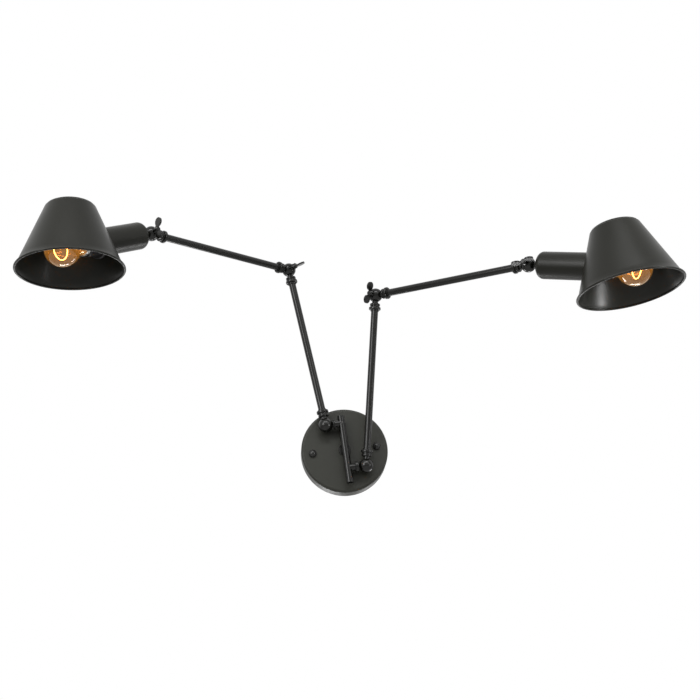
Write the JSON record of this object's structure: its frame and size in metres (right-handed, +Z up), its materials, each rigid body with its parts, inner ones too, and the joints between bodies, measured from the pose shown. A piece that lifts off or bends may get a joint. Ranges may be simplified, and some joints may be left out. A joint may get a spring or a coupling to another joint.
{
  "type": "articulating wall lamp",
  "caption": "Wall lamp on a round plate with a pair of jointed swing arms, wing-screw knuckles, socket cups and flared cone shades over clear globe bulbs.",
  "frame": {"origin": "midpoint of the mounting strap's two wall-screw slots, in the plane of the wall", "axes": "+Y into the wall, +Z up, +X to the right as seen from the room; the lamp stands out towards -Y"},
  "size_m": [0.8127, 0.3759, 0.3507],
  "materials": {
    "black": "satin black powder coat",
    "gloss_black": "semi-gloss black enamel",
    "shade_black": "satin black outside and inside",
    "zinc": "zinc-plated steel",
    "fibre": "dark fibre washer",
    "porcelain": "moulded black lampholder",
    "nylon": "white nylon terminal block",
    "glass": "clear glass",
    "cap_metal": "plain lamp cap",
    "stem_glass": "clear glass mount",
    "filament": "glowing wire"
  },
  "bodies": {
    "wall": {"wall_plate": "black", "mounting_strap": "zinc", "plate_studs": "zinc", "cap_nuts": "gloss_black", "terminal_block": "nylon", "centre_post": "black", "post_locknut": "zinc", "bar_tube": "gloss_black", "bar_plugs": "black", "bar_bosses": "gloss_black", "set_screws": "zinc"},
    "left_stub": {"left_base_swivel": "gloss_black", "left_base_washer": "fibre", "left_base_screw": "gloss_black"},
    "left_lower": {"left_lower_foot": "gloss_black", "left_lower_tube": "gloss_black", "left_lower_collars": "gloss_black", "left_lower_top": "gloss_black", "left_elbow_washer": "fibre"},
    "left_elbow_screw": {"left_elbow_wing": "gloss_black"},
    "left_upper": {"left_upper_foot": "gloss_black", "left_upper_tube": "gloss_black", "left_upper_collars": "gloss_black", "left_upper_top": "gloss_black", "left_head_washer": "fibre"},
    "left_head_screw": {"left_head_wing": "gloss_black"},
    "left_knuckle": {"left_head_knuckle": "gloss_black"},
    "left_head": {"left_socket_cup": "shade_black", "left_lampholder": "porcelain", "left_shade": "shade_black", "left_shade_ring": "porcelain", "left_bulb_glass": "glass", "left_bulb_cap": "cap_metal", "left_bulb_stem": "stem_glass", "left_filament": "filament"},
    "right_stub": {"right_base_swivel": "gloss_black", "right_base_washer": "fibre", "right_base_screw": "gloss_black"},
    "right_lower": {"right_lower_foot": "gloss_black", "right_lower_tube": "gloss_black", "right_lower_collars": "gloss_black", "right_lower_top": "gloss_black", "right_elbow_washer": "fibre"},
    "right_elbow_screw": {"right_elbow_wing": "gloss_black"},
    "right_upper": {"right_upper_foot": "gloss_black", "right_upper_tube": "gloss_black", "right_upper_collars": "gloss_black", "right_upper_top": "gloss_black", "right_head_washer": "fibre"},
    "right_head_screw": {"right_head_wing": "gloss_black"},
    "right_knuckle": {"right_head_knuckle": "gloss_black"},
    "right_head": {"right_socket_cup": "shade_black", "right_lampholder": "porcelain", "right_shade": "shade_black", "right_shade_ring": "porcelain", "right_bulb_glass": "glass", "right_bulb_cap": "cap_metal", "right_bulb_stem": "stem_glass", "right_filament": "filament"}
  },
  "joints": [
    {"name": "left_base_swivel", "type": "hinge", "parent": "wall", "child": "left_stub", "pos_m": [-0.0228, -0.0325, 0.0352], "axis": [1, 0, 0], "range_deg": [-5, 95]},
    {"name": "left_base_hinge", "type": "hinge", "parent": "left_stub", "child": "left_lower", "pos_m": [-0.0228, -0.0325, 0.0352], "axis": [0, 0.9996, 0.029], "range_deg": [-75, 8]},
    {"name": "left_elbow_hinge", "type": "hinge", "parent": "left_lower", "child": "left_upper", "pos_m": [-0.04536, -0.03948, 0.27604], "axis": [0.6408, -0.7668, 0.0378], "range_deg": [-85, 35]},
    {"name": "left_elbow_wing_screw", "type": "hinge", "parent": "left_lower", "child": "left_elbow_screw", "pos_m": [-0.04536, -0.03948, 0.27604], "axis": [0.6408, -0.7668, 0.0378], "range_deg": [0, 180]},
    {"name": "left_head_hinge", "type": "hinge", "parent": "left_upper", "child": "left_knuckle", "pos_m": [-0.23101, -0.19471, 0.27436], "axis": [0.6414, -0.7672, 0], "range_deg": [-108, 72]},
    {"name": "left_head_wing_screw", "type": "hinge", "parent": "left_upper", "child": "left_head_screw", "pos_m": [-0.23101, -0.19471, 0.27436], "axis": [0.6414, -0.7672, 0], "range_deg": [0, 180]},
    {"name": "left_head_swivel", "type": "hinge", "parent": "left_knuckle", "child": "left_head", "pos_m": [-0.23101, -0.19471, 0.27436], "axis": [-0.7093, -0.593, -0.3811], "range_deg": [-60, 60]},
    {"name": "right_base_swivel", "type": "hinge", "parent": "wall", "child": "right_stub", "pos_m": [0.0252, -0.0325, -0.0293], "axis": [1, 0, 0], "range_deg": [-12, 95]},
    {"name": "right_base_hinge", "type": "hinge", "parent": "right_stub", "child": "right_lower", "pos_m": [0.0252, -0.0325, -0.0293], "axis": [0, 0.9809, 0.1943], "range_deg": [-8, 75]},
    {"name": "right_elbow_hinge", "type": "hinge", "parent": "right_lower", "child": "right_upper", "pos_m": [0.06924, -0.07874, 0.20412], "axis": [0.643, 0.7652, 0.0303], "range_deg": [-85, 35]},
    {"name": "right_elbow_wing_screw", "type": "hinge", "parent": "right_lower", "child": "right_elbow_screw", "pos_m": [0.06924, -0.07874, 0.20412], "axis": [-0.643, -0.7652, -0.0303], "range_deg": [0, 180]},
    {"name": "right_head_hinge", "type": "hinge", "parent": "right_upper", "child": "right_knuckle", "pos_m": [0.25195, -0.23043, 0.15753], "axis": [0.6388, 0.7694, 0], "range_deg": [-98, 80]},
    {"name": "right_head_wing_screw", "type": "hinge", "parent": "right_upper", "child": "right_head_screw", "pos_m": [0.25195, -0.23043, 0.15753], "axis": [-0.6388, -0.7694, 0], "range_deg": [0, 180]},
    {"name": "right_head_swivel", "type": "hinge", "parent": "right_knuckle", "child": "right_head", "pos_m": [0.25195, -0.23043, 0.15753], "axis": [0.7061, -0.5862, -0.3972], "range_deg": [-60, 60]}
  ]
}
